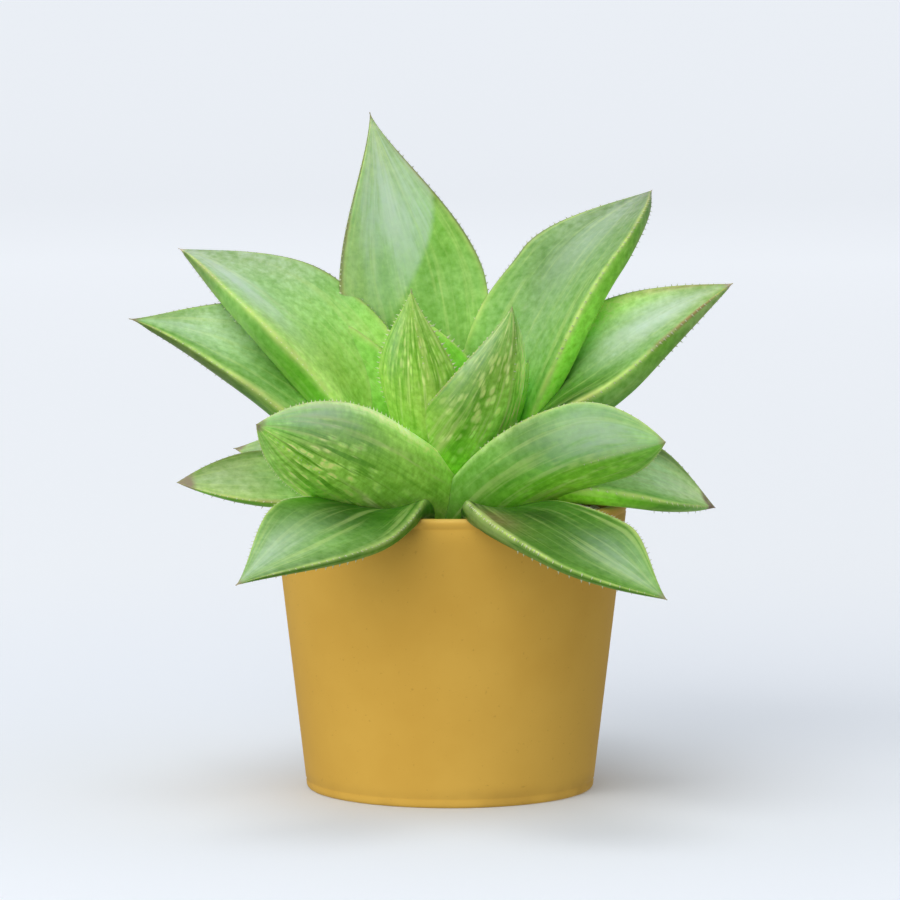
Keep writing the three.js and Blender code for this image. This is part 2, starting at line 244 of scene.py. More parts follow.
def joined(parts):
    """One array of points and one list of faces from several of each."""
    faces, base = [], 0
    for points, part_faces in parts:
        faces += [tuple(i + base for i in f) for f in part_faces]
        base += len(points)
    return np.concatenate([points for points, _ in parts]), faces


def stand_for(obj, node):
    """Makes the object ride the one body and stand for a CAD node."""
    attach(obj, "root")
    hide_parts(node)


def smoothstep(x, low, high):
    x = np.clip((np.asarray(x, dtype=float) - low) / (high - low), 0, 1)
    return x * x * (3 - 2 * x)


def lerp(a, b, x):
    return a + (b - a) * x


# ---- the leaves' shape

# The same course and section as the CAD leaves, drawn finely. Lengths in mm, angles in degrees.
# "Along" runs from 0 at a leaf's foot to 1 at its tip, "across" from -1 to 1 over its width.
LEAN = radians(29)   # of the rosette, toward the front
ROSETTE_CENTRE = np.array([0.0, -3.0, 49.0])
LEAF_FOOT = 3.0           # length of the foot that clasps the stem
FOOT_TAPER = 0.15
STATIONS = 96             # sections along a leaf
AROUND = 22               # points across one face of a leaf
SPINE_STEPS = 60
ROLLED, CURLED, KEELED = 0.6, 0.55, 0.5   # where along a leaf each is complete
UPPER_PART, LOWER_PART = 0.3, 0.7         # of the thickness, over and under the margins
THICKEST = 0.6            # the most thickness, as a share of the width
RIDGE_SOFTNESS = 0.035
POINT_SIZE = 0.16         # fineness of the bristle that ends a leaf
SWELL, RIPPLE = 0.010, 0.006              # unevenness of the skin, as shares of the width

# rows of teeth: the edge, the spacing in mm, where along the leaf they start
TEETH_ROWS = ((-1.0, 0.95, 0.30), (1.0, 0.95, 0.30), ("keel", 1.3, 0.62))
TEETH_END = 0.965
TOOTH_LENGTHS = (0.28, 0.52)
TOOTH_SUNK = 0.12
TOOTH_BROAD, TOOTH_THIN = 0.17, 0.1

LEAF_DEFAULTS = dict(
    # seat, out and up place the foot; azimuth turns by bend toward the tip; rise, roll and curl
    # are given at foot and tip; wide is where the leaf is widest, foot the share of that width at
    # its foot, full how blunt it ends; keel is the ridge's sharpness and side its place across
    thickness=5.0, bend=0, roll=(0, 0), full=0.2, wide=0.5, foot=0.62, curl=(110, 45),
    keel=0.9, side=0, ease=1, slot="leaf_middle",
    # tones of the upper and the lower face at SKIN_PLACES, and painted light: a factor for foot and
    # tip
    face="spring leaf mist straw", back="grass grass leaf straw", light=(1.2, 1.2),
    # patches of painted sheen and of windows: (along, across, reach along, reach across, amount)
    sheen=((0.66, 0.0, 0.26, 0.9, 0.6),), windows=((0.75, 0.0, 0.3, 1.2, 0.4),),
    # patches of another tone: (tone, face, along, across, reach along, reach across, amount)
    strokes=(),
    # patches of painted light and shade: (face, along, across, reach along, reach across, factor)
    painted_shading=(),
    dry=0.985, dry_tone=0.4, teeth=1.0, blush=0.3, streaks=0.4,
    # edge of the painted sheen: its place across at the foot, its slope along, the side it lies on
    cut=(-9, 0, 1),
    # margins with a thin dark line: -1, 1 or both
    dark_rims=())

LEAVES = [
    dict(name="leaf_heart_core", azimuth=200, seat=20, out=0.5, up=4, rise=(80, 86), length=20,
         width=9.5, thickness=3.6, keel=0.5, full=0, slot="leaf_inner",
         back="spring spring spring straw", light=(2.2, 1.7), sheen=(), blush=0.1),
    dict(name="leaf_heart_left", azimuth=200, seat=235, out=5, up=2, rise=(80, 90), length=36,
         width=13.5, thickness=3.5, roll=(45, 50), full=0, side=0.35, slot="leaf_inner",
         back="fern fern fresh pale", light=(2.1, 1.3), sheen=((0.75, -0.6, 0.2, 0.4, 0.3),),
         windows=((0.72, 0.1, 0.3, 1.2, 0.9),), blush=0.5, teeth=1.3, streaks=1.0),
    dict(name="leaf_heart_right", azimuth=348.5, seat=267, out=4.6, up=1.5, rise=(61.5, 86.5),
         bend=5.5, length=35.5, width=20, thickness=4, roll=(-62, -41.5), curl=(120, 90),
         foot=0.85, wide=0.37, full=0.45, side=0.1, slot="leaf_inner",
         back="lime spring fresh leaf", light=(2.0, 1.25),
         strokes=(("fern", "back", 0.5, -0.9, 0.5, 0.35, 0.7),
                  ("pale", "back", 0.55, 0.6, 0.4, 0.45, 1.0)),
         painted_shading=(("back", 0.5, 0.7, 0.35, 0.55, 2.8), ("back", 0.5, -0.4, 0.35, 0.35, 0.75),
                 ("back", 0.6, -0.95, 0.4, 0.3, 0.85)),
         sheen=((0.75, -0.9, 0.25, 0.35, 0.5), (0.8, 0.8, 0.2, 0.35, 0.5)),
         windows=((0.6, 0.0, 0.4, 1.3, 1.0),), blush=0.6, teeth=1.3, streaks=1.2),
    dict(name="leaf_heart_side", azimuth=352, seat=8, out=4.5, up=1, rise=(64, 76), length=22,
         width=13, thickness=3.6, full=0, keel=0.5, slot="leaf_inner",
         back="lime lime spring leaf", light=(2.6, 2.6), sheen=()),
    dict(name="leaf_back_tall", azimuth=107, seat=103, out=4, up=3, rise=(38, 57), bend=6,
         length=53.5, width=24.5, roll=(-14, 1), full=0, wide=0.46, foot=0.6, curl=(110, 60),
         side=-0.3, keel=0.5, face="spring leaf leaf straw", light=(1.08, 1.2),
         strokes=(("spring", "face", 0.62, -0.7, 0.12, 0.4, 0.5),
                  ("pale", "face", 0.5, 0.9, 0.3, 0.3, 0.8),
                  ("brown", "face", 0.8, -0.95, 0.2, 0.12, 0.4)),
         painted_shading=(("face", 1.0, -0.9, 0.15, 0.5, 0.7),),
         sheen=((0.74, -0.1, 0.3, 1.3, 1.0),), cut=(1.81, -3.78, 1), windows=(), blush=0.7,
         dark_rims=(-1, 1), dry_tone=0.2),
    dict(name="leaf_upper_right", azimuth=46.5, seat=30.5, out=9, up=2.5, rise=(78, -9), bend=14,
         length=52.5, width=25, thickness=5.4, roll=(0, -26.5), full=0, wide=0.6, foot=0.6,
         curl=(110, 60), side=-0.8, face="spring leaf mist frost",
         back="spring spring spring mist", light=(1.25, 0.68),
         strokes=(("mist", "face", 0.38, 0.0, 0.25, 0.9, 0.8),),
         painted_shading=(("face", 0.08, -0.8, 0.12, 1.0, 2.0), ("back", 0.15, -0.9, 0.3, 1.0, 2.0),
                 ("back", 0.55, -0.9, 0.3, 1.0, 1.4), ("face", 0.58, 0.3, 0.2, 0.5, 0.72)),
         sheen=((0.72, 0.1, 0.26, 0.5, 0.45),), windows=(), dark_rims=(1,), dry_tone=0.9),
    dict(name="leaf_upper_left", azimuth=153.5, seat=171.5, out=10, up=1.5, rise=(76, -7.5),
         bend=-14, length=50.5, width=25, thickness=6.8, roll=(-6.5, 12.5), full=0, wide=0.52,
         foot=0.6, curl=(110, 60), side=0.8, face="fern leaf mist frost",
         back="grass grass leaf olive", light=(2.05, 1.0),
         strokes=(("pale", "face", 0.35, 0.95, 0.35, 0.35, 0.9),
                  ("fern", "face", 0.32, 0.4, 0.2, 0.5, 0.8),
                  ("frost", "face", 0.75, -0.7, 0.2, 0.6, 0.6)),
         painted_shading=(("back", 0.55, 0.9, 0.25, 0.5, 0.85), ("face", 0.75, -0.9, 0.25, 0.6, 0.85),
                 ("face", 0.7, 0.6, 0.15, 0.4, 1.15)),
         sheen=((0.74, 0.5, 0.22, 0.4, 1.0),), windows=(), dark_rims=(-1,), dry=0.975,
         dry_tone=0.9),
    dict(name="leaf_heart_back", azimuth=120, seat=100, out=3.2, up=2.6, rise=(66, 66),
         length=22.5, width=14, thickness=3.2, roll=(-20, -20), keel=0.5, full=0,
         slot="leaf_inner", face="spring spring spring pale", light=(1.7, 1.5), sheen=(),
         teeth=1.5),
    dict(name="leaf_front_right", azimuth=348, seat=277, out=9, up=-4.5, rise=(58, 13.5),
         bend=-14, length=41.5, width=17, thickness=4, roll=(-76, -78), full=0.9, wide=0.68,
         curl=(110, 43), side=0.1, back="grass grass grass leaf", light=(1.4, 1.5),
         strokes=(("leaf", "back", 0.5, -0.7, 0.4, 0.35, 0.8),
                  ("ivory", "back", 0.3, -1.0, 0.4, 0.1, 1.0),
                  ("lime", "back", 0.55, 0.6, 0.6, 0.65, 1.0)),
         painted_shading=(("back", 0.3, 0.6, 0.2, 0.6, 1.9), ("back", 0.52, -0.8, 0.12, 0.5, 0.65),
                 ("back", 0.95, -0.9, 0.35, 0.3, 0.8), ("back", 0.95, 0.9, 0.15, 0.4, 0.7)),
         sheen=((0.8, -0.4, 0.26, 0.7, 0.9),), cut=(-0.2, 0.45, -1),
         windows=((0.6, 0.2, 0.35, 0.5, 0.35),), streaks=0.5),
    dict(name="leaf_front_left", azimuth=220.5, seat=254.5, out=8.3, up=-2.7, rise=(50, 38),
         bend=14, length=52, width=18, roll=(71.5, 78), full=0.9, wide=0.42, foot=0.98,
         curl=(110, 60), side=-0.3, back="turf turf turf leaf", light=(3.1, 2.2),
         strokes=(("pale", "back", 0.3, 0.95, 0.35, 0.2, 0.9),
                  ("ivory", "back", 0.35, 1.0, 0.45, 0.11, 1.0),
                  ("fern", "back", 0.8, -0.3, 0.3, 0.5, 0.7)),
         painted_shading=(("back", 0.5, -0.8, 0.18, 0.6, 1.5), ("back", 0.95, -0.9, 0.12, 0.35, 0.6),
                 ("back", 0.95, 0.1, 0.15, 0.6, 1.25)),
         sheen=((0.8, 0.7, 0.3, 0.45, 0.9),), windows=((0.68, -0.15, 0.36, 0.7, 1.5),),
         dry=0.97, streaks=0.9),
    dict(name="leaf_right", azimuth=13.5, seat=358, out=9, up=1.3, rise=(61, 16), bend=4,
         length=46.5, width=25, thickness=6.8, roll=(-25, -1), full=0.5, wide=0.3, curl=(110, 60),
         side=-0.7, face="grass leaf mist straw", back="grass leaf spring straw", light=(1.1, 1.1),
         strokes=(("grass", "face", 0.42, -0.6, 0.2, 0.6, 0.9),
                  ("pale", "face", 0.5, 0.8, 0.25, 0.4, 1.0),
                  ("frost", "face", 0.68, -0.1, 0.2, 0.5, 0.95),
                  ("brown", "face", 0.85, 0.95, 0.25, 0.2, 0.7)),
         painted_shading=(("face", 0.42, 1.0, 0.2, 0.6, 4.5), ("face", 0.3, -0.9, 0.2, 0.45, 0.2),
                 ("face", 0.68, 0.9, 0.15, 0.4, 1.4), ("face", 0.95, 0.5, 0.12, 0.8, 0.85)),
         sheen=((0.72, 0.0, 0.2, 0.5, 0.95),), windows=(), blush=0.9, dark_rims=(1,),
         dry=0.975, dry_tone=0.5),
    dict(name="leaf_left", azimuth=175.5, seat=176, out=7.4, up=1.5, rise=(54, 8.5), bend=2,
         length=50, width=25, thickness=7, roll=(-25, -9), full=0, wide=0.43, curl=(110, 60),
         side=0.45, face="spring leaf mist mist", back="grass grass olive olive", light=(1.6, 1.15),
         strokes=(("grass", "face", 0.5, 0.2, 0.1, 0.5, 0.6),
                  ("olive", "face", 0.95, -0.8, 0.2, 0.6, 0.7),
                  ("spring", "face", 0.8, 0.9, 0.3, 0.25, 0.6),
                  ("frost", "face", 0.7, -0.6, 0.15, 0.6, 0.6)),
         painted_shading=(("face", 0.7, 0.9, 0.5, 0.35, 0.72), ("back", 0.7, 0.9, 0.6, 1.0, 0.75),
                 ("face", 0.47, -0.4, 0.1, 0.5, 1.6), ("face", 0.7, -0.4, 0.2, 0.8, 1.1)),
         sheen=((0.82, 0.1, 0.16, 0.5, 0.5),), windows=(), blush=0.4, dark_rims=(-1,),
         dry=0.975, dry_tone=0.3),
    dict(name="leaf_low_left", azimuth=196.5, seat=203, out=8.3, up=0.8, rise=(14.5, 4.5),
         bend=-8.5, length=35.5, width=14, thickness=4.2, roll=(0, -1), full=0.8, wide=0.54,
         curl=(110, 28), keel=0.7, side=0.67, slot="leaf_outer",
         face="leaf leaf straw straw", back="grass lime lime spring", light=(1.5, 1.15),
         strokes=(("olive", "face", 0.7, -0.95, 0.3, 0.25, 0.8),),
         painted_shading=(("back", 0.7, 0.9, 0.3, 1.0, 0.75), ("face", 0.9, -0.6, 0.2, 0.5, 0.8)),
         sheen=((0.8, 0.0, 0.2, 0.5, 0.3),), windows=(), blush=0.6, dry=0.93),
    dict(name="leaf_low_right", azimuth=356.5, seat=341.5, out=8.5, up=0.5, rise=(20.5, -38.5),
         bend=14, length=35, width=19, roll=(0, -5.5), full=0.4, wide=0.65, curl=(110, 50),
         keel=0.7, side=-0.8, slot="leaf_outer", back="lime lime grass leaf", light=(1.9, 1.6),
         strokes=(("grass", "face", 0.7, -0.9, 0.4, 0.3, 0.7),
                  ("olive", "face", 0.7, 0.95, 0.4, 0.25, 0.9)),
         painted_shading=(("face", 0.7, 0.95, 0.15, 0.35, 0.5), ("back", 0.75, -0.9, 0.2, 1.0, 0.8),
                 ("face", 0.72, 0.1, 0.2, 0.5, 1.15)),
         sheen=((0.75, 0.0, 0.25, 0.6, 0.5),), windows=(), dark_rims=(1,), dry=0.93,
         dry_tone=0.25),
    dict(name="leaf_bottom_left", azimuth=245.5, seat=238, out=9.8, up=-3.5, rise=(41.5, -2),
         bend=-16.5, length=57, width=17.5, thickness=4.6, roll=(25, -5), wide=0.59,
         foot=0.42, curl=(110, 31), keel=0.7, side=0.88, ease=1.24, slot="leaf_outer",
         face="moss moss leaf mist", back="moss moss grass grass", light=(1.05, 0.95),
         strokes=(("grass", "face", 0.5, -0.85, 0.2, 0.3, 0.9),),
         painted_shading=(("face", 0.52, 0.0, 0.12, 0.5, 0.6), ("face", 0.5, -0.95, 0.12, 0.35, 1.7),
                 ("face", 0.8, 0.9, 0.3, 0.3, 0.72), ("back", 0.5, 0.9, 0.15, 1.0, 1.5),
                 ("back", 0.85, 0.9, 0.25, 1.0, 0.8)),
         sheen=((0.85, -0.2, 0.2, 0.6, 0.6),), windows=(), blush=0),
    dict(name="leaf_bottom_right", azimuth=283, seat=302, out=10, up=-3.3, rise=(42, -25),
         bend=55.5, length=57, width=17.5, thickness=4.6, roll=(-12, -7.5), full=0.35, wide=0.74,
         foot=0.42, curl=(110, 47), keel=0.7, side=-0.88, ease=1.7, slot="leaf_outer",
         face="moss moss grass leaf", back="moss moss grass grass", light=(0.75, 1.0),
         strokes=(("grass", "face", 0.9, -0.8, 0.3, 0.3, 0.6),
                  ("brown", "face", 0.5, -0.85, 0.12, 0.5, 0.7)),
         painted_shading=(("face", 0.5, 0.1, 0.12, 0.35, 0.45), ("face", 0.3, -0.9, 0.15, 0.4, 0.35),
                 ("face", 0.7, 0.0, 0.12, 2.0, 0.7), ("back", 0.75, -0.9, 0.4, 1.0, 0.75)),
         sheen=((0.87, 0.2, 0.15, 0.5, 0.6),), windows=(), blush=0.1),
    dict(name="leaf_rear_centre", azimuth=100, seat=100, out=7, up=0, rise=(16, 2), length=44,
         width=21),
    dict(name="leaf_rear_right", azimuth=64, seat=64, out=7.5, up=-1, rise=(12, -4), length=42,
         width=21),
    dict(name="leaf_rear_left", azimuth=130, seat=130, out=7.5, up=-1, rise=(12, -4), length=42,
         width=21),
    dict(name="leaf_old_right", azimuth=28, seat=28, out=8, up=-4, rise=(4, -12), length=30,
         width=18, slot="leaf_outer", dry=0.95),
    dict(name="leaf_old_left", azimuth=152, seat=152, out=8, up=-4, rise=(0, -14), length=31,
         width=18, thickness=4.4, slot="leaf_outer", dry=0.94),
    dict(name="leaf_old_back_right", azimuth=78, seat=78, out=8, up=-5, rise=(-15, -27),
         length=40, width=19, thickness=4.4, slot="leaf_outer", dry=0.93),
    dict(name="leaf_old_back_left", azimuth=112, seat=112, out=8, up=-5, rise=(-15, -26),
         length=38, width=19, thickness=4.4, slot="leaf_outer", dry=0.95),
]
LEAVES = [{**LEAF_DEFAULTS, **row} for row in LEAVES]


def heading(azimuth, rise):
    """Unit vector of a direction."""
    a, e = radians(azimuth), radians(rise)
    return np.array([cos(e) * cos(a), cos(e) * sin(a), sin(e)])


def course(leaf, share):
    """Azimuth and rise of the midrib at a share of the length."""
    rise = lerp(leaf["rise"][0], leaf["rise"][1], share ** leaf["ease"])
    return leaf["azimuth"] + leaf["bend"] * share ** 2, rise


def turned(vector, axis, angle):
    """Vector turned about a unit axis."""
    return (vector * cos(angle) + np.cross(axis, vector) * sin(angle)
            + axis * np.dot(axis, vector) * (1 - cos(angle)))


def frame_at(leaf, share):
    """Place, forward, across and upper-side directions of the midrib at a share of the length."""
    place = heading(leaf["seat"], 0) * leaf["out"]
    place[2] += leaf["up"]
    step = leaf["length"] / SPINE_STEPS
    whole = share * SPINE_STEPS
    for i in range(ceil(whole - 1e-9)):
        part = min(1.0, whole - i)
        place = place + heading(*course(leaf, (i + part / 2) / SPINE_STEPS)) * step * part
    azimuth, rise = course(leaf, share)
    along = heading(azimuth, rise)
    roll = lerp(leaf["roll"][0], leaf["roll"][1], float(smoothstep(share, 0, ROLLED)))
    across = turned(heading(azimuth + 90, 0), along, radians(roll))
    return place, along, across, np.cross(along, across)


def width_share(leaf, share):
    """Width at a share of the length: it grows up to the widest place, then shrinks to the tip."""
    if share < leaf["wide"]:
        return lerp(leaf["foot"], 1, sin(share / leaf["wide"] * pi / 2))
    outer = (share - leaf["wide"]) / (1 - leaf["wide"])
    full = leaf["full"]
    return max(0.0, 1 - outer ** (1.7 + 0.5 * full)) ** (1.4 - 0.45 * full)


def thickness_share(share):
    """Thickness at a share of the length, a little less at the foot and none at the tip."""
    return max(0.0, 1 - share ** 2.2) ** 0.8 * (0.8 + 0.2 * min(share / 0.3, 1))


def section(leaf, share, q, under):
    """Across and upper places of points at q, -1 to 1 over the width, on one face of the leaf."""
    width = max(leaf["width"] * width_share(leaf, share), POINT_SIZE)
    thick = min(max(leaf["thickness"] * thickness_share(share), POINT_SIZE), THICKEST * width)
    curl = radians(lerp(leaf["curl"][0], leaf["curl"][1], float(smoothstep(share, 0, CURLED))))
    radius = width / curl
    keel = leaf["keel"] * float(smoothstep(share, 0, KEELED))
    round_ = np.sqrt(np.clip(1 - q * q, 0, 1))
    left, right = (1 + q) / (1 + leaf["side"]), (1 - q) / (1 - leaf["side"])
    soft = RIDGE_SOFTNESS
    ridge = 0.5 * (left + right - np.sqrt((left - right) ** 2 + soft ** 2))
    ridge = ridge + 0.5 * soft * (1 - np.abs(q)) ** 2
    lower = -LOWER_PART * thick * lerp(round_, 0.35 * round_ + 0.75 * ridge, keel)
    height = np.where(under, lower, UPPER_PART * thick * round_)
    turn = q * curl / 2
    return (radius * np.sin(turn) - height * np.sin(turn),
            radius * (1 - np.cos(turn)) + height * np.cos(turn), width)


TO_POT = np.array([[1, 0, 0],
                   [0, cos(LEAN), -sin(LEAN)],
                   [0, sin(LEAN), cos(LEAN)]])


def to_pot(points):
    """The leaning rosette's points in the pot's frame."""
    return points @ TO_POT.T + ROSETTE_CENTRE


# The darkest green (72, 124, 36) is painted shade, for leaf feet that lie under other leaves.
SKIN = dict(moss=(72, 124, 36), grass=(98, 154, 48), turf=(112, 150, 60), lime=(122, 190, 50),
            fern=(145, 177, 82), fresh=(134, 179, 71), spring=(134, 190, 74),
            # the whitish tone (178, 196, 166) is painted sheen
            leaf=(138, 185, 98), mist=(152, 189, 128), frost=(178, 196, 166),
            straw=(174, 196, 134), pale=(176, 206, 118), ivory=(206, 228, 164),
            olive=(112, 138, 70), brown=(150, 122, 88))
SKIN_PLACES = (0.15, 0.45, 0.7, 0.95)     # along a leaf, where its four tones lie


def skin_paint(leaf, t, q, under):
    """Colour of the skin at each point, with painted light and shade, before its fine pattern."""
    def along(tones):
        rows = np.array([linear(*SKIN[tone])[:3] for tone in tones.split()])
        return np.column_stack([np.interp(t, SKIN_PLACES, row) for row in rows.T])

    def patch_share(side, patch):
        return (spots([patch], t, q) * (under if side == "back" else 1 - under))[:, None]

    colour = lerp(along(leaf["face"]), along(leaf["back"]), under[:, None])
    for tone, side, *patch in leaf["strokes"]:
        colour = lerp(colour, np.array(linear(*SKIN[tone])[:3]), patch_share(side, patch))
    # patches of painted light and shade
    for side, *patch, factor in leaf["painted_shading"]:
        colour = colour * (1 + (factor - 1) * patch_share(side, (*patch, 1.0)))
    # painted light and shade: a factor from foot to tip, high for leaves that lie in shade
    light = np.interp(t, (SKIN_PLACES[0], SKIN_PLACES[-1]), leaf["light"])
    return np.column_stack([colour * light[:, None], np.ones(len(t))])


def spots(patches, t, q):
    """Soft oval patches, each as (along, across, reach along, reach across, amount)."""
    mask = np.zeros(len(t))
    for t0, q0, reach_t, reach_q, amount in patches:
        far = ((t - t0) / reach_t) ** 2 + ((q - q0) / reach_q) ** 2
        mask = np.maximum(mask, amount * np.exp(-1.2 * far))
    return mask


def blade(leaf, phases):
    """A leaf without its teeth: its points and faces, and each point's along, across and under."""
    spread = np.sin(np.linspace(-1, 1, AROUND) * pi / 2)
    q = np.concatenate([spread, spread[-2:0:-1]])
    under = np.concatenate([np.zeros(AROUND), np.ones(AROUND - 2)])
    rings, ts = [], []
    for share in 1 - (1 - np.linspace(0, 1, STATIONS)) ** 1.25:
        place, along, across, upper = frame_at(leaf, share)
        u, v, width = section(leaf, share, q, under > 0.5)
        swell = SWELL * width * np.sin(7 * share + phases[0] + 2.1 * q) * (1 - share)
        ripple = RIPPLE * width * np.sin(19 * share + phases[1] + 4 * q * (1 - 2 * under))
        v = v + swell + ripple * (1 - share)
        rings.append(place + np.outer(u, across) + np.outer(v, upper))
        ts.append(np.full(len(q), share))
    place, along, _, _ = frame_at(leaf, 0)
    foot_centre = place - along * LEAF_FOOT
    foot = rings[0] - along * LEAF_FOOT
    foot = foot + (foot_centre - foot) * FOOT_TAPER
    rings, ts = [foot] + rings, [np.zeros(len(q))] + ts
    sides, count = len(q), len(rings)
    points = np.concatenate(rings + [[foot_centre], [rings[-1].mean(axis=0)]])
    t = np.concatenate(ts + [[0], [1]])
    across_q = np.concatenate([np.tile(q, count), [0, 0]])
    face_side = np.concatenate([np.tile(under, count), [0.5, 0.5]])
    first, last, end = len(points) - 2, len(points) - 1, (count - 1) * sides
    pairs = [(j, (j + 1) % sides) for j in range(sides)]
    faces = [(n + j, n + sides + j, n + sides + k, n + k)
             for n in range(0, end, sides) for j, k in pairs]
    for j, k in pairs:
        faces += [(first, j, k), (last, end + k, end + j)]
    return points, faces, t, across_q, face_side


def teeth(leaf, rng, base):
    """Small points along both margins and the keel, with faces numbered from base."""
    points, faces, ts, qs = [], [], [], []
    for edge, spacing, where in TEETH_ROWS:
        on_keel = edge == "keel"
        side = leaf["side"] if on_keel else edge
        turn = side * radians(leaf["curl"][1]) / 2
        while where < TEETH_END:
            where += spacing / leaf["length"] * rng.uniform(0.7, 1.35)
            size = leaf["teeth"] * rng.uniform(*TOOTH_LENGTHS) * min(1, (1.02 - where) * 6)
            place, along, across, upper = frame_at(leaf, min(where, 1))
            u, v, _ = section(leaf, where, np.array([side]), np.array([on_keel]))
            root = place + across * u[0] + upper * v[0]
            if on_keel:
                out = -(upper * cos(turn)) + across * sin(turn)
                size *= 0.8
            else:
                out = (across * cos(turn) + upper * sin(turn) * side) * side
            out = out + along * rng.uniform(0.3, 0.7)
            out /= np.linalg.norm(out)
            flat = np.cross(out, upper)
            flat /= np.linalg.norm(flat)
            thin = np.cross(out, flat)
            ring = [root - out * TOOTH_SUNK
                    + (flat * cos(a) * TOOTH_BROAD + thin * sin(a) * TOOTH_THIN)
                    * (0.5 + size) for a in (0, pi / 2, pi, 1.5 * pi)]
            points += ring + [root + out * size]
            faces += [(base + i, base + (i + 1) % 4, base + 4) for i in range(4)]
            ts += [where] * 5
            qs += [side] * 5
            base += 5
    return points, faces, ts, qs


def leaf_mesh(leaf, seed):
    """Points, faces and painted values of one leaf."""
    rng = np.random.default_rng(seed)
    phases = rng.uniform(0, 2 * pi, 6)    # two are used; the rest keep the teeth's draws
    points, faces, t, q, under = blade(leaf, phases)
    tooth_points, tooth_faces, tooth_t, tooth_q = teeth(leaf, rng, len(points))
    tooth = np.concatenate([np.zeros(len(points)), np.ones(len(tooth_points))])
    points = np.concatenate([points, tooth_points])
    t = np.concatenate([t, tooth_t])
    q = np.concatenate([q, tooth_q])
    under = np.concatenate([under, np.full(len(tooth_t), 0.5)])

    # painted sheen, weaker on the lower face unless the leaf is turned over
    turned_over = abs(leaf["roll"][1]) > 40
    sheen = spots(leaf["sheen"], t, q) * lerp(1.0, 1.0 if turned_over else 0.35, under)
    windows = spots(leaf["windows"], t, q) * lerp(0.3, 1, under)
    across_at, across_per_length, way = leaf["cut"]
    cut = way * (q - across_at - across_per_length * t)
    edge = np.where(under > 0.75, smoothstep(np.abs(q), 0.975, 1.0),
                    smoothstep(np.abs(q), 0.92, 0.998)) * smoothstep(t, 0.05, 0.3)
    keel_line = (under > 0.75) * np.exp(-((q - leaf["side"]) / 0.035) ** 2)
    keel_line = keel_line * smoothstep(t, 0.45, 0.75)
    rim = sum((smoothstep(side * q, 0.955, 0.995) for side in leaf["dark_rims"]),
              np.zeros(len(points))) * smoothstep(t, 0.35, 0.6)
    dry = smoothstep(t, leaf["dry"] - 0.02, leaf["dry"] + 0.012)
    values = dict(along=t, across=q, sheen=sheen, cut=cut, window=windows,
                  edge=np.maximum(edge, 0.6 * keel_line), dry=dry, tooth=tooth, rim=rim,
                  skin=skin_paint(leaf, t, q, under), seed=np.full(len(points), float(seed)))
    for name in ("dry_tone", "blush", "streaks"):
        values[name] = np.full(len(points), leaf[name])
    return clear_of_pot(to_pot(points)) * MM, faces + tooth_faces, values


def clear_of_pot(points):
    """Lifts what would sink into the mix or into the rim, as the CAD leaves are cut there."""
    radius, height = np.hypot(points[:, 0], points[:, 1]), points[:, 2]
    over_mix = radius < POT_FOOT_RADIUS
    height = np.where(over_mix, np.maximum(height, SOIL_TOP + GAP), height)
    over_rim = ((radius > POT_TOP_RADIUS - POT_WALL - GAP) & (radius < POT_TOP_RADIUS + GAP)
                & (height > SOIL_TOP))
    height = np.where(over_rim, np.maximum(height, POT_HEIGHT + GAP), height)
    return np.column_stack([points[:, :2], height])


# ---- the leaves' material

# Scales of noise over a place are per metre, depths of relief in metres.

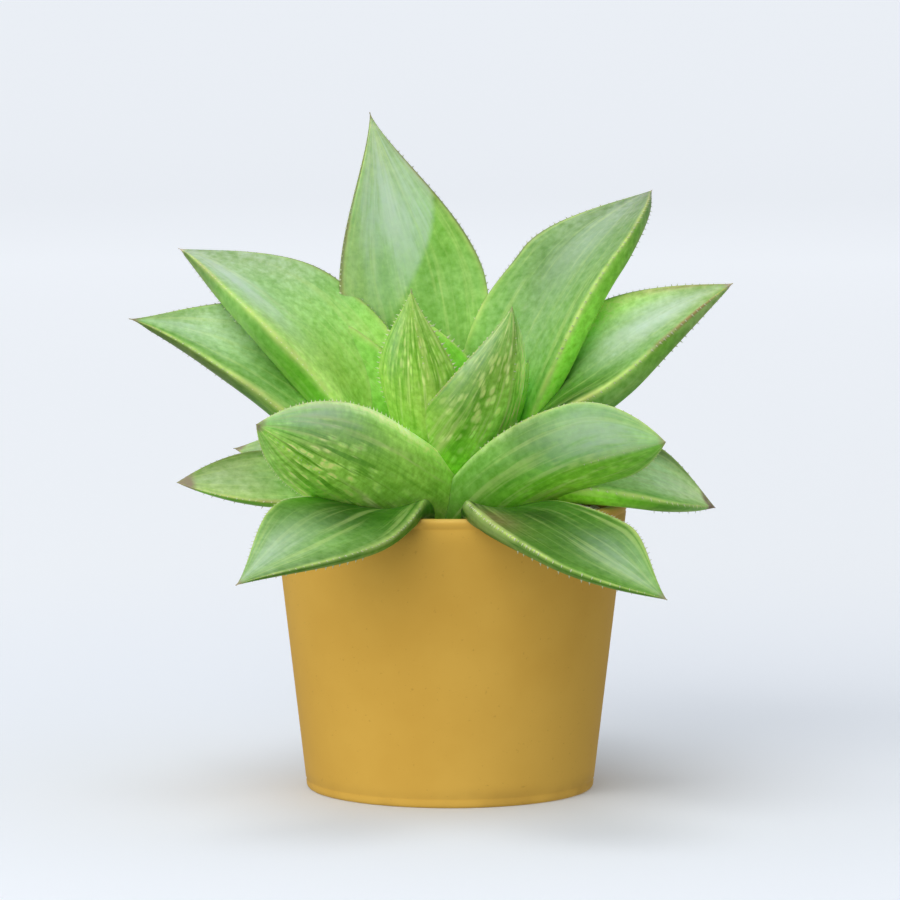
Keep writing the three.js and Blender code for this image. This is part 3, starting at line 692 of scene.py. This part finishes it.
def leaf_material():
    s = Shader("leaf_skin")
    along, across, seed = s.attribute("along"), s.attribute("across"), s.attribute("seed")
    place = s.place()
    colour = s.attribute("skin", "Color")

    def pattern(rows, runs, shift, detail, warp):
        """Noise drawn out along the leaf: rows over its width, runs over its length."""
        vector = s.vector(s.times(across, rows), s.times(along, runs), s.times(seed, shift))
        return s.noise(vector, 1.0, detail, 0.6, warp)

    # soft blotches, mottled cells, and long faint veins
    blotch = s.noise(place, 150.0, 3.0, 0.55)
    colour = s.tint(colour, s.ramp(blotch, [(0.35, (0.80, 0.86, 0.74, 1)),
                                            (0.65, (1.0, 0.98, 1.0, 1))]))
    mottle = s.noise(place, 800.0, 3.0, 0.6)
    colour = s.tint(colour, s.ramp(mottle, [(0.32, (0.64, 0.76, 0.52, 1)),
                                            (0.68, (1.06, 1.04, 1.1, 1))]))
    veins = pattern(7.0, 1.6, 1.0, 4.0, 0.25)
    streaks = s.attribute("streaks")
    colour = s.mix(s.times(streaks, s.span(veins, 0.48, 0.32, 0.0, 0.5)), colour,
                   s.tint(colour, linear(176, 216, 130)))
    colour = s.mix(s.times(streaks, s.span(veins, 0.50, 0.66, 0.0, 0.65)), colour,
                   linear(206, 226, 140))

    # pale windows: broken rows of small ovals along the leaf, with deeper green between
    rows = pattern(11.0, 3.0, 3.7, 2.0, 0.3)
    cells = s.cells(s.vector(s.times(across, 9.0), s.times(along, 15.0), s.times(seed, 2.3)))
    oval = s.times(s.span(cells, 0.52, 0.2), s.span(rows, 0.38, 0.50))
    window = s.attribute("window")
    colour = s.mix(s.times(window, s.span(rows, 0.50, 0.36, 0.0, 0.6)), colour,
                   s.tint(colour, linear(140, 190, 96)))
    pale = s.mix(1.0, s.tint(colour, (1.9, 1.45, 2.4, 1)), linear(208, 230, 136), "LIGHTEN")
    colour = s.mix(s.times(window, oval), colour, pale)

    # painted sheen: a whitish reflection on the outer half, streaky and broken up
    wisps = pattern(4.0, 2.6, 1.9, 4.0, 0.4)
    painted_sheen = s.times(s.attribute("sheen"), s.span(wisps, 0.30, 0.62, 0.45, 1.0))
    painted_sheen = s.times(painted_sheen, s.span(s.attribute("cut"), -0.06, 0.08))
    colour = s.mix(s.times(painted_sheen, 0.8), colour, linear(198, 218, 202))

    # pale margin and keel line, with a brownish blush or a thin dark line along parts of it
    edge = s.times(s.attribute("edge"),
                   s.span(s.noise(place, 260.0, 3.0, 0.6), 0.3, 0.65, 0.35, 0.95))
    outer = s.span(along, 0.3, 0.55)
    blush = s.times(s.times(outer, s.attribute("blush")),
                    s.span(s.noise(place, 60.0, 2.0, 0.5), 0.42, 0.6))
    rim_colour = s.mix(blush, linear(190, 216, 124), linear(150, 112, 82))
    colour = s.mix(edge, colour, rim_colour)
    colour = s.mix(s.times(s.attribute("rim"), 0.85), colour, linear(106, 112, 78))
    colour = s.mix(s.times(s.attribute("tooth"), 0.8), colour, linear(214, 224, 178))

    # dry tip
    dry_colour = s.mix(s.attribute("dry_tone"), linear(92, 62, 44), linear(206, 196, 172))
    dry = s.times(s.attribute("dry"), s.span(s.noise(place, 900.0), 0.3, 0.6, 0.7, 1.0))
    colour = s.mix(dry, colour, dry_colour)

    rough = s.math("ADD", s.span(s.noise(place, 420.0, 2.0), 0.3, 0.7, 0.40, 0.52),
                   s.times(s.attribute("dry"), 0.35))
    grain = s.bump(mottle, 0.00006, 0.6)
    ribs = s.bump(rows, 0.00016, 0.45, grain)
    s.set(Base_Color=colour, Roughness=rough, Normal=ribs, Subsurface_Weight=0.35,
          Subsurface_Scale=0.0022, Subsurface_Radius=(0.6, 1.0, 0.15),
          Specular_IOR_Level=0.1, IOR=1.4)
    return s.material


# ---- pot, mix, stones and stem

POT_SIDES = 224
DRAIN_SIDES = 40
FOOT_LINE = dict(z=1.35, depth=0.1, reach=0.32)
RIM_LINE = dict(z=POT_HEIGHT - 1.5, depth=0.12, reach=0.32)


def pot_radius(z):
    return lerp(POT_FOOT_RADIUS, POT_TOP_RADIUS, z / POT_HEIGHT)


def inner_radius(z):
    return pot_radius(z) - POT_WALL


def lathe(profile, sides):
    """Points and faces of a profile of (radius, height) turned about Z."""
    points, rings, faces = [], [], []
    for r, z in profile:
        if r < 1e-6:
            rings.append([len(points)])
            points.append((0, 0, z))
        else:
            rings.append(list(range(len(points), len(points) + sides)))
            points += [(r * cos(2 * pi * i / sides), r * sin(2 * pi * i / sides), z)
                       for i in range(sides)]
    for a, b in zip(rings, rings[1:]):
        for i in range(sides):
            j = (i + 1) % sides
            if len(a) == 1:
                faces.append((a[0], b[j], b[i]))
            elif len(b) == 1:
                faces.append((a[i], a[j], b[0]))
            else:
                faces.append((a[i], a[j], b[j], b[i]))
    return np.array(points), faces


def corner(centre, radius, start, stop, steps=6):
    """Points of an arc in the profile's plane, angles in degrees from the outward direction."""
    return [(centre[0] + radius * cos(radians(a)), centre[1] + radius * sin(radians(a)))
            for a in np.linspace(start, stop, steps)]


def groove(z, depth, reach):
    """A shallow line round the outer wall."""
    return [(pot_radius(z + dz) - d, z + dz)
            for dz, d in ((-reach, 0), (-0.4 * reach, depth), (0.4 * reach, depth), (reach, 0))]


def pot_material():
    s = Shader("pot_glaze")
    place = s.place()
    height = s.split(place)[2]
    tone = s.noise(place, 38.0, 4.0, 0.55)
    colour = s.mix(s.span(tone, 0.3, 0.72), linear(206, 162, 70), linear(215, 172, 78))
    speck = s.span(s.noise(place, 1500.0, 2.0, 0.7), 0.66, 0.74)
    colour = s.mix(s.times(speck, 0.25), colour, linear(150, 112, 50))
    # lighter along the lip, in patches
    lighter_lip = s.times(s.span(height, 0.0441, 0.0447),
                   s.span(s.noise(place, 300.0, 3.0), 0.35, 0.6, 0.5, 1.0))
    colour = s.mix(s.times(lighter_lip, 0.55), colour, linear(226, 190, 108))
    # darker towards the foot, in patches
    darker_foot = s.times(s.span(height, 0.004, 0.0005),
                    s.span(s.noise(place, 120.0, 3.0), 0.4, 0.7))
    colour = s.mix(s.times(darker_foot, 0.3), colour, linear(146, 110, 52))
    fine = s.bump(s.noise(place, 900.0, 3.0, 0.6), 0.00003, 0.5)
    broad = s.bump(s.noise(place, 60.0, 2.0), 0.0002, 0.25, fine)
    s.set(Base_Color=colour, Roughness=s.span(tone, 0.3, 0.7, 0.46, 0.56), Normal=broad,
          Specular_IOR_Level=0.03)
    return s.material


def drain_cutters():
    """Points and faces of the cylinders that are cut out of the pot's floor."""
    hole, faces = lathe([(0, -2), (DRAIN_RADIUS, -2), (DRAIN_RADIUS, 5), (0, 5)], DRAIN_SIDES)
    turns = [2 * pi * (i + 0.5) / DRAINS for i in range(DRAINS)]
    return joined([(hole + (DRAIN_CIRCLE * cos(turn), DRAIN_CIRCLE * sin(turn), 0), faces)
                   for turn in turns])


def add_pot():
    rim = POT_HEIGHT - POT_EDGE
    profile = [(0, 0), (POT_FOOT_RADIUS - POT_EDGE - 0.4, 0), (POT_FOOT_RADIUS - POT_EDGE, 0)]
    profile += corner((pot_radius(POT_EDGE) - POT_EDGE, POT_EDGE), POT_EDGE, -84, 0)[1:]
    profile += groove(**FOOT_LINE)
    profile += [(pot_radius(z), z) for z in np.linspace(3, POT_HEIGHT - 4, 16)]
    profile += groove(**RIM_LINE)
    profile += corner((pot_radius(rim) - POT_EDGE, rim), POT_EDGE, 0, 90)
    profile += corner((inner_radius(rim) + POT_EDGE, rim), POT_EDGE, 90, 180)
    profile += [(inner_radius(z), z) for z in np.linspace(rim - 1, POT_FLOOR + 2 * POT_EDGE, 8)]
    profile += [(inner_radius(POT_FLOOR) - 2 * POT_EDGE, POT_FLOOR), (0, POT_FLOOR)]
    points, faces = lathe(profile, POT_SIDES)
    pot = add_mesh("pot.glazed", points * MM, faces, pot_material())
    holes, hole_faces = drain_cutters()
    cutter = add_mesh("drain_cutter", holes * MM, hole_faces, pot.data.materials[0])
    cut = pot.modifiers.new("drains", "BOOLEAN")
    cut.operation, cut.object, cut.solver = "DIFFERENCE", cutter, "EXACT"
    bake_modifiers(pot)
    bpy.data.objects.remove(cutter)
    sharpen(pot, 40)
    stand_for(pot, "pot")


def bake_modifiers(obj):
    """Applies the object's modifiers to its mesh."""
    graph = bpy.context.evaluated_depsgraph_get()
    mesh = bpy.data.meshes.new_from_object(obj.evaluated_get(graph))
    obj.modifiers.clear()
    obj.data = mesh


def sharpen(obj, angle):
    """Smooth shading, apart from edges sharper than an angle in degrees."""
    mesh = obj.data
    mesh.shade_smooth()
    mesh.set_sharp_from_angle(angle=radians(angle))


def soil_material():
    s = Shader("potting_mix")
    place = s.place()
    lumps = s.noise(place, 420.0, 4.0, 0.65)
    colour = s.ramp(lumps, [(0.3, linear(30, 22, 16)), (0.5, linear(62, 46, 33)),
                            (0.62, linear(92, 70, 50)), (0.75, linear(150, 132, 110))])
    relief = s.bump(s.noise(place, 700.0, 4.0, 0.7), 0.0006, 1.0)
    s.set(Base_Color=colour, Roughness=s.span(lumps, 0.3, 0.7, 0.98, 0.85), Normal=relief)
    return s.material


def stone_material():
    s = Shader("pebbles")
    place = s.place()
    kind = s.attribute("kind")
    colour = s.ramp(kind, [(0.0, linear(196, 178, 164)), (0.25, linear(214, 196, 182)),
                           (0.5, linear(186, 158, 142)), (0.72, linear(226, 214, 200)),
                           (0.88, linear(160, 150, 142)), (1.0, linear(206, 170, 150))])
    mottle = s.noise(place, 700.0, 4.0, 0.6)
    colour = s.mix(s.span(mottle, 0.45, 0.7, 0.0, 0.5), colour,
                   s.tint(colour, linear(190, 172, 158)))
    fleck = s.span(s.noise(place, 2600.0, 2.0, 0.6), 0.62, 0.72)
    colour = s.mix(s.times(fleck, 0.35), colour, linear(110, 92, 80))
    relief = s.bump(s.noise(place, 2200.0, 4.0, 0.65), 0.00012, 0.9)
    s.set(Base_Color=colour, Roughness=s.span(mottle, 0.3, 0.7, 0.72, 0.9), Normal=relief)
    return s.material


FACETS = 5                # flattened sides of a pebble


def pebble(rng, unit_points, radius):
    """Points of one rounded, uneven stone about its own middle."""
    points = unit_points.copy()
    for _ in range(FACETS):
        way = rng.normal(size=3)
        way /= np.linalg.norm(way)
        cut = rng.uniform(0.62, 0.9)
        over = np.maximum(points @ way - cut, 0)
        points = points - np.outer(over * 0.85, way)
    lumps = sum(0.035 * np.sin(points @ rng.normal(size=3) * 3 + rng.uniform(0, 6))
                for _ in range(4))
    points = points * (1 + lumps)[:, None]
    points = points * (radius * np.array([rng.uniform(1.0, 1.3), 1.0, rng.uniform(0.6, 0.85)]))
    turn, tip = rng.uniform(0, 2 * pi), rng.uniform(-0.5, 0.5)
    spin = np.array([[cos(turn), -sin(turn), 0], [sin(turn), cos(turn), 0], [0, 0, 1]])
    lean = np.array([[1, 0, 0], [0, cos(tip), -sin(tip)], [0, sin(tip), cos(tip)]])
    return points @ lean.T @ spin.T


def unit_ball(subdivisions):
    """Points and faces of a ball of radius 1."""
    ball = bmesh.new()
    bmesh.ops.create_icosphere(ball, subdivisions=subdivisions, radius=1.0)
    points = np.array([v.co[:] for v in ball.verts])
    faces = [tuple(v.index for v in f.verts) for f in ball.faces]
    ball.free()
    return points, faces


STONES = 620
STONE_RADII = (0.75, 1.05, 1.4, 1.75)
STONE_SHARES = (0.3, 0.35, 0.25, 0.1)     # how many of the stones have each radius
BED_INNER = 5.4           # clear of the stem
BED_SEED = 7
GRIT_RINGS = 46
GRIT_SIDES = 160
GRIT_LUMP = 0.07


def add_pebbles(rng):
    """Single stones, spread evenly over the bed in a sunflower's spiral."""
    ball, ball_faces = unit_ball(3)
    outer = inner_radius(BED_TOP) - 1.3
    stones, kinds = [], []
    for i in range(STONES):
        reach = sqrt(lerp(BED_INNER ** 2, outer ** 2, (i + 0.5) / STONES))
        turn = i * pi * (3 - sqrt(5)) + rng.uniform(-0.06, 0.06)
        radius = rng.choice(STONE_RADII, p=STONE_SHARES)
        reach = min(reach, outer - radius * 0.9 + 0.9)
        height = BED_TOP + rng.uniform(-0.5, 0.55) + 0.25 * radius
        stone = pebble(rng, ball, radius * rng.uniform(0.9, 1.1))
        stone = stone + (reach * cos(turn), reach * sin(turn), height)
        stones.append((stone, ball_faces))
        kinds += [rng.uniform()] * len(ball)
    points, faces = joined(stones)
    pebbles = add_mesh("gravel.pebbles", points * MM, faces, stone_material(), {"kind": kinds})
    stand_for(pebbles, "gravel")


def add_grit(rng, soil):
    """The gritty mix between the pebbles, an uneven disc."""
    fill = inner_radius(BED_TOP) - 0.25
    profile = [(fill - 0.15, SOIL_TOP)]
    profile += [(r, BED_TOP) for r in np.linspace(fill, 0.4, GRIT_RINGS)] + [(0, BED_TOP)]
    bed, faces = lathe(profile, GRIT_SIDES)
    top = bed[:, 2] > BED_TOP - 0.01
    lump = sum(GRIT_LUMP * np.sin(bed[:, :2] @ rng.normal(size=2) * k + rng.uniform(0, 6))
               for k in (1.2, 1.9, 2.8, 3.9, 5.1))
    bed[:, 2] += top * lump
    stand_for(add_mesh("gravel.grit", bed * MM, faces, soil), "gravel")


def add_gravel(soil):
    rng = np.random.default_rng(BED_SEED)
    add_pebbles(rng)
    add_grit(rng, soil)


# radius at each height: the upper part leans with the rosette, the root end is upright in the mix
STEM_TOP = [(-4, 6.2), (-1, 6.3), (1, 5), (2.6, 3), (3.6, 1.4)]
STEM_ROOT = [(25, 0.9), (31, 2.2), (37, 3.6), (41.5, 5)]
STEM_ROOT_Y = 1.2
STEM_SIDES = 72
STEM_STEPS = 12           # sections from one height to the next
SCAR_SPACING = 6.5        # sections from one leaf scar to the next


def stem_material():
    s = Shader("stem_bark")
    place = s.place()
    height = s.split(place)[2]
    ring = s.attribute("ring")
    bark = s.noise(place, 320.0, 4.0, 0.6)
    colour = s.ramp(bark, [(0.3, linear(120, 104, 72)), (0.5, linear(158, 146, 104)),
                           (0.7, linear(184, 178, 136))])
    colour = s.mix(s.span(ring, 0.35, 0.85, 0.0, 0.6), colour, linear(96, 80, 54))
    colour = s.mix(s.span(height, 0.0465, 0.051), colour, linear(116, 172, 60))
    relief = s.bump(bark, 0.0003, 0.8)
    s.set(Base_Color=colour, Roughness=s.span(bark, 0.3, 0.7, 0.85, 0.7), Normal=relief)
    return s.material


def add_stem():
    """The short stem, with the rings that shed leaves have left round it."""
    keys = [(np.array([0, STEM_ROOT_Y, z]), r, 0.0) for z, r in STEM_ROOT]
    keys += [(to_pot(np.array([0.0, 0, up])), r, LEAN) for up, r in STEM_TOP]
    rows = []
    for start, stop in zip(keys, keys[1:]):
        rows += [[lerp(a, b, k / STEM_STEPS) for a, b in zip(start, stop)]
                 for k in range(STEM_STEPS)]
    rows.append(keys[-1])
    sides = STEM_SIDES
    points, ring_mask = [], []
    for n, (centre, radius, tilt) in enumerate(rows):
        scar = 0.5 + 0.5 * sin(n * 2 * pi / SCAR_SPACING)
        for i in range(sides):
            a = 2 * pi * i / sides
            wobble = 1 + 0.02 * sin(3 * a + 0.3 * n) - 0.045 * scar
            x, y = radius * wobble * cos(a), radius * wobble * sin(a)
            points.append(centre + (x, y * cos(tilt), y * sin(tilt)))
            ring_mask.append(scar)
    end = (len(rows) - 1) * sides
    pairs = [(i, (i + 1) % sides) for i in range(sides)]
    faces = [(n + i, n + j, n + sides + j, n + sides + i)
             for n in range(0, end, sides) for i, j in pairs]
    for i, j in pairs:
        faces += [(len(points), j, i), (len(points) + 1, end + i, end + j)]
    points += [rows[0][0], rows[-1][0]]
    ring_mask += [0, 0]
    stem = add_mesh("stem.bark", np.array(points) * MM, faces, stem_material(),
                    {"ring": ring_mask})
    stand_for(stem, "stem")


# ---- stage

FLOOR_REACH = 1.5         # metres, out to where the floor turns up
COVE_RADIUS = 1.0
WALL_TOP = 2.4
GLOW_FLOOR, GLOW_MOST = 0.04, 0.42        # the floor's own faint light, at the pot and far off
GLOW_RISE, GLOW_POWER = 0.345, 0.78


def add_stage():
    """A pale floor that turns up into a wall far behind, lit evenly out to its edge."""
    profile = [(0, 0), (0.4, 0), (FLOOR_REACH, 0)]
    profile += corner((FLOOR_REACH, COVE_RADIUS), COVE_RADIUS, -90, 0, 24)[1:]
    profile += [(FLOOR_REACH + COVE_RADIUS, WALL_TOP)]
    points, faces = lathe(profile, 96)
    s = Shader("backdrop")
    place = s.place()
    x, y, _ = s.split(place)
    reach = s.math("SQRT", s.math("ADD", s.times(x, x), s.times(y, y)))
    tone = s.noise(place, 1.2, 2.0)
    colour = s.mix(tone, linear(228, 231, 236), linear(230, 233, 238))
    glow = s.times(GLOW_RISE, s.math("POWER", reach, GLOW_POWER))
    glow = s.math("MINIMUM", GLOW_MOST, s.math("ADD", GLOW_FLOOR, glow))
    glow_colour = s.mix(s.span(reach, 0.03, 0.3), linear(196, 218, 255), linear(238, 242, 248))
    s.set(Base_Color=colour, Roughness=0.9, Specular_IOR_Level=0.1,
          Emission_Color=glow_colour, Emission_Strength=glow)
    floor = add_mesh("backdrop", points, [tuple(reversed(f)) for f in faces], s.material)
    floor.visible_diffuse = False        # the world and the lamps alone light the plant
    floor.visible_glossy = False


bpy.context.scene.view_settings.view_transform = "Standard"
add_camera()
add_stage()
add_light()

skin = leaf_material()
for number, row in enumerate(LEAVES, 1):
    leaf_points, leaf_faces, leaf_values = leaf_mesh(row, number)
    leaf = add_mesh(row["name"] + ".blade", leaf_points, leaf_faces, skin, leaf_values)
    stand_for(leaf, row["name"])

mix = soil_material()
add_pot()
add_gravel(mix)
add_stem()
soil_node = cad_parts["soil"]
soil_node.data.materials.clear()
soil_node.data.materials.append(mix)
